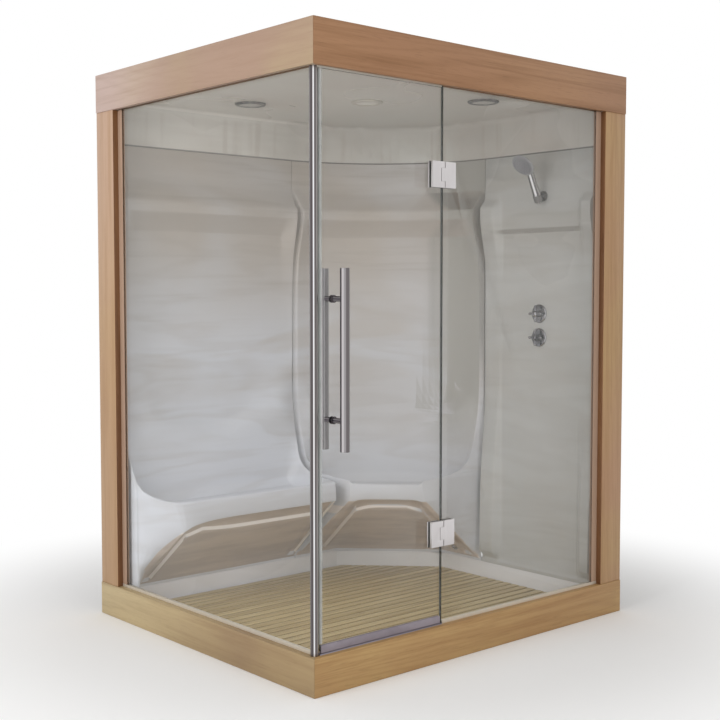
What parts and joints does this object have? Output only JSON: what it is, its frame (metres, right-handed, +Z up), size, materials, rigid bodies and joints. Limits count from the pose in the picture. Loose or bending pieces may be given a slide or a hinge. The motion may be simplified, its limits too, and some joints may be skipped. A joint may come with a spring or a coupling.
{
  "type": "steam sauna cabin",
  "caption": "Corner steam sauna cabin with timber casing, glass walls, hinged glass door, moulded benches with heel recesses, domed ceiling, shower and duckboard floor.",
  "frame": {"origin": "middle of the footprint, on the ground", "axes": "+Z up, -Y towards the door and front glass, -X towards the side glass"},
  "size_m": [1.64, 1.4445, 2.2],
  "materials": {
    "timber_light": "oiled cedar, light",
    "timber_warm": "oiled cedar, warm",
    "timber_frame": "planed softwood",
    "duckboard_wood": "oiled hardwood",
    "steel_frame": "zinc grey",
    "acrylic": "gloss white acrylic",
    "clear_glass": "clear toughened glass",
    "light_channel": "satin",
    "brown_channel": "dark brown",
    "polished_steel": "polished",
    "brushed_steel": "satin brushed",
    "hinge_metal": "bright plated",
    "grey_rubber": "soft grey",
    "clear_seal": "translucent",
    "dark_plastic": "dark grey",
    "plated_plastic": "chrome plated plastic",
    "brass": "raw",
    "lamp_lens": "opal",
    "lamp_can": "raw"
  },
  "bodies": {
    "cabin": {"frame_rails": "steel_frame", "levelling_feet": "dark_plastic", "shower_tray": "acrylic", "drain_flange": "polished_steel", "drain_grate": "polished_steel", "sill_front": "timber_light", "sill_left": "timber_light", "post_left": "timber_light", "post_right": "timber_warm", "rear_corner_post": "steel_frame", "wall_studs": "steel_frame", "wall_battens": "timber_frame", "top_rails": "steel_frame", "head_rails": "timber_frame", "roof_bearers": "timber_frame", "fascia_front": "timber_warm", "fascia_left": "timber_light", "dome_ceiling": "acrylic", "downlight_rings": "polished_steel", "downlight_lenses": "lamp_lens", "downlight_cans": "lamp_can", "left_bench_unit": "acrylic", "corner_bench_unit": "acrylic", "shower_wall_panel": "acrylic", "joint_strips": "acrylic", "side_glass": "clear_glass", "front_glass": "clear_glass", "corner_post": "polished_steel", "glazing_channels": "light_channel", "jamb_channels": "brown_channel", "threshold_strip": "light_channel", "hinge_fixed_leaves": "hinge_metal", "hinge_fixed_clamps": "hinge_metal", "hinge_fixed_gaskets": "grey_rubber", "hinge_fixed_screws": "polished_steel", "hinge_pins": "polished_steel", "valve_roses": "polished_steel", "valve_body": "brass", "riser_pipe": "brass", "bracket_base": "dark_plastic", "steam_outlet": "dark_plastic"},
    "door": {"door_glass": "clear_glass", "hinge_door_leaves": "hinge_metal", "hinge_door_clamps": "hinge_metal", "hinge_door_gaskets": "grey_rubber", "hinge_door_screws": "polished_steel", "handle_outer_bar": "brushed_steel", "handle_inner_bar": "brushed_steel", "handle_studs": "polished_steel", "handle_collars": "grey_rubber", "door_sweep": "clear_seal", "door_edge_seal": "grey_rubber"},
    "duckboard": {"duckboard_bearers": "duckboard_wood", "duckboard_slats": "duckboard_wood"},
    "flow_control": {"flow_handle": "plated_plastic"},
    "temperature_control": {"temperature_handle": "plated_plastic"},
    "shower_cradle": {"bracket_cradle": "dark_plastic"},
    "hand_shower": {"handset_handle": "plated_plastic", "shower_head": "plated_plastic", "spray_face": "dark_plastic"}
  },
  "joints": [
    {"name": "door_hinge", "type": "hinge", "parent": "cabin", "child": "door", "pos_m": [-0.21, -0.6775, 1.1], "axis": [0, 0, 1], "range_deg": [0, 95]},
    {"name": "flow_turn", "type": "hinge", "parent": "cabin", "child": "flow_control", "pos_m": [0.742, -0.317, 1.234], "axis": [-1, 0, 0], "range_deg": [0, 90]},
    {"name": "temperature_turn", "type": "hinge", "parent": "cabin", "child": "temperature_control", "pos_m": [0.742, -0.317, 1.131], "axis": [-1, 0, 0], "range_deg": [-135, 135]},
    {"name": "shower_tilt", "type": "hinge", "parent": "cabin", "child": "shower_cradle", "pos_m": [0.7145, -0.345, 1.735], "axis": [0, 1, 0], "range_deg": [-15, 15]},
    {"name": "shower_lift", "type": "slide", "parent": "shower_cradle", "child": "hand_shower", "axis": [-0.4462, 0, 0.8949], "range_m": [0, 0.05]},
    {"name": "duckboard_lift", "type": "slide", "parent": "cabin", "child": "duckboard", "axis": [0, 0, 1], "range_m": [0, 0.04]}
  ]
}
